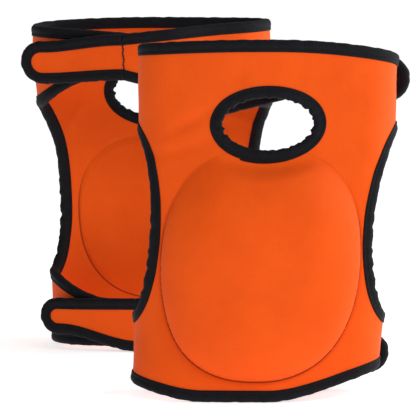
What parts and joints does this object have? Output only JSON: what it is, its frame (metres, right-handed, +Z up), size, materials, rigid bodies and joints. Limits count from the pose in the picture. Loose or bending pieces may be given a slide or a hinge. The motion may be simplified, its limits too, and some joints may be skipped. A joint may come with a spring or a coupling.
{
  "type": "knee pads",
  "caption": "Pull-on neoprene knee sleeves with a domed foam front, oval eyelet, side cut-outs, taped edges and hook-and-loop bands behind the knee.",
  "frame": {"origin": "middle of the pair's footprint, on the surface that the pads stand on", "axes": "+Z up the sleeves from shin to thigh; +Y from the right pad's front panel towards the left pad, which stands back to back with it; +X to the right as the right pad's front is seen"},
  "size_m": [0.2872, 0.4072, 0.2525],
  "materials": {
    "neoprene_orange": "knit-faced neoprene, safety orange, matt with a slight sheen",
    "lining_orange": "knit-faced neoprene lining, deeper orange, matt",
    "binding_black": "folded stretch tape, ribbed along its length, sewn edge",
    "eva_foam": "closed-cell foam, matt",
    "comfort_foam": "soft open-cell foam, matt",
    "hook_tape": "woven tape with moulded hooks",
    "loop_tape": "brushed loop pile",
    "thread": "bonded polyester thread"
  },
  "bodies": {
    "right_pad": {"right_outer_shell": "neoprene_orange", "right_inner_lining": "lining_orange", "right_foam_core": "eva_foam", "right_comfort_foam": "comfort_foam", "right_eyelet_binding": "binding_black", "right_top_binding": "binding_black", "right_bottom_binding": "binding_black", "right_wing_side_binding": "binding_black", "right_flap_side_binding": "binding_black"},
    "right_upper_strap": {"right_upper_strap": "neoprene_orange", "right_upper_strap_bottom_binding": "binding_black", "right_upper_strap_top_binding": "binding_black", "right_upper_seam_stitch": "thread"},
    "right_upper_tab": {"right_upper_tab": "neoprene_orange", "right_upper_tab_binding": "binding_black", "right_upper_hook_patch": "hook_tape"},
    "right_upper_flap": {"right_upper_flap": "neoprene_orange", "right_upper_flap_binding": "binding_black", "right_upper_loop_patch": "loop_tape"},
    "right_lower_strap": {"right_lower_strap": "neoprene_orange", "right_lower_strap_bottom_binding": "binding_black", "right_lower_strap_top_binding": "binding_black", "right_lower_seam_stitch": "thread"},
    "right_lower_tab": {"right_lower_tab": "neoprene_orange", "right_lower_tab_binding": "binding_black", "right_lower_hook_patch": "hook_tape"},
    "right_lower_flap": {"right_lower_flap": "neoprene_orange", "right_lower_flap_binding": "binding_black", "right_lower_loop_patch": "loop_tape"},
    "left_pad": {"left_outer_shell": "neoprene_orange", "left_inner_lining": "lining_orange", "left_foam_core": "eva_foam", "left_comfort_foam": "comfort_foam", "left_eyelet_binding": "binding_black", "left_top_binding": "binding_black", "left_bottom_binding": "binding_black", "left_wing_side_binding": "binding_black", "left_flap_side_binding": "binding_black"},
    "left_upper_strap": {"left_upper_strap": "neoprene_orange", "left_upper_strap_bottom_binding": "binding_black", "left_upper_strap_top_binding": "binding_black", "left_upper_seam_stitch": "thread"},
    "left_upper_tab": {"left_upper_tab": "neoprene_orange", "left_upper_tab_binding": "binding_black", "left_upper_hook_patch": "hook_tape"},
    "left_upper_flap": {"left_upper_flap": "neoprene_orange", "left_upper_flap_binding": "binding_black", "left_upper_loop_patch": "loop_tape"},
    "left_lower_strap": {"left_lower_strap": "neoprene_orange", "left_lower_strap_bottom_binding": "binding_black", "left_lower_strap_top_binding": "binding_black", "left_lower_seam_stitch": "thread"},
    "left_lower_tab": {"left_lower_tab": "neoprene_orange", "left_lower_tab_binding": "binding_black", "left_lower_hook_patch": "hook_tape"},
    "left_lower_flap": {"left_lower_flap": "neoprene_orange", "left_lower_flap_binding": "binding_black", "left_lower_loop_patch": "loop_tape"}
  },
  "joints": [
    {"name": "left_pad_lift", "type": "slide", "parent": "right_pad", "child": "left_pad", "axis": [0, 0, 1], "range_m": [0, 0.3]},
    {"name": "right_upper_strap_swing", "type": "hinge", "parent": "right_pad", "child": "right_upper_strap", "pos_m": [-0.05031, -0.142, 0.218], "axis": [0.0282, 0, 0.9996], "range_deg": [0, 100]},
    {"name": "right_upper_tab_peel", "type": "hinge", "parent": "right_upper_strap", "child": "right_upper_tab", "pos_m": [0.06491, -0.09243, 0.218], "axis": [0.0552, 0, 0.9985], "range_deg": [0, 110]},
    {"name": "right_upper_flap_swing", "type": "hinge", "parent": "right_pad", "child": "right_upper_flap", "pos_m": [0.13549, -0.142, 0.218], "axis": [0.0716, 0, 0.9974], "range_deg": [-35, 0]},
    {"name": "right_lower_strap_swing", "type": "hinge", "parent": "right_pad", "child": "right_lower_strap", "pos_m": [-0.05572, -0.142, 0.026], "axis": [0.0282, 0, 0.9996], "range_deg": [0, 100]},
    {"name": "right_lower_tab_peel", "type": "hinge", "parent": "right_lower_strap", "child": "right_lower_tab", "pos_m": [0.0543, -0.09243, 0.026], "axis": [0.0552, 0, 0.9985], "range_deg": [0, 110]},
    {"name": "right_lower_flap_swing", "type": "hinge", "parent": "right_pad", "child": "right_lower_flap", "pos_m": [0.1217, -0.142, 0.026], "axis": [0.0716, 0, 0.9974], "range_deg": [-35, 0]},
    {"name": "left_upper_strap_swing", "type": "hinge", "parent": "left_pad", "child": "left_upper_strap", "pos_m": [0.05031, 0.142, 0.218], "axis": [-0.0282, 0, 0.9996], "range_deg": [0, 100]},
    {"name": "left_upper_tab_peel", "type": "hinge", "parent": "left_upper_strap", "child": "left_upper_tab", "pos_m": [-0.06491, 0.09243, 0.218], "axis": [-0.0552, 0, 0.9985], "range_deg": [0, 110]},
    {"name": "left_upper_flap_swing", "type": "hinge", "parent": "left_pad", "child": "left_upper_flap", "pos_m": [-0.13549, 0.142, 0.218], "axis": [-0.0716, 0, 0.9974], "range_deg": [-35, 0]},
    {"name": "left_lower_strap_swing", "type": "hinge", "parent": "left_pad", "child": "left_lower_strap", "pos_m": [0.05572, 0.142, 0.026], "axis": [-0.0282, 0, 0.9996], "range_deg": [0, 100]},
    {"name": "left_lower_tab_peel", "type": "hinge", "parent": "left_lower_strap", "child": "left_lower_tab", "pos_m": [-0.0543, 0.09243, 0.026], "axis": [-0.0552, 0, 0.9985], "range_deg": [0, 110]},
    {"name": "left_lower_flap_swing", "type": "hinge", "parent": "left_pad", "child": "left_lower_flap", "pos_m": [-0.1217, 0.142, 0.026], "axis": [-0.0716, 0, 0.9974], "range_deg": [-35, 0]}
  ],
  "couplings": [
    {"joint": "right_upper_flap_swing", "follows": "right_upper_strap_swing", "ratio": -0.35},
    {"joint": "right_lower_flap_swing", "follows": "right_lower_strap_swing", "ratio": -0.35},
    {"joint": "left_upper_flap_swing", "follows": "left_upper_strap_swing", "ratio": -0.35},
    {"joint": "left_lower_flap_swing", "follows": "left_lower_strap_swing", "ratio": -0.35}
  ]
}
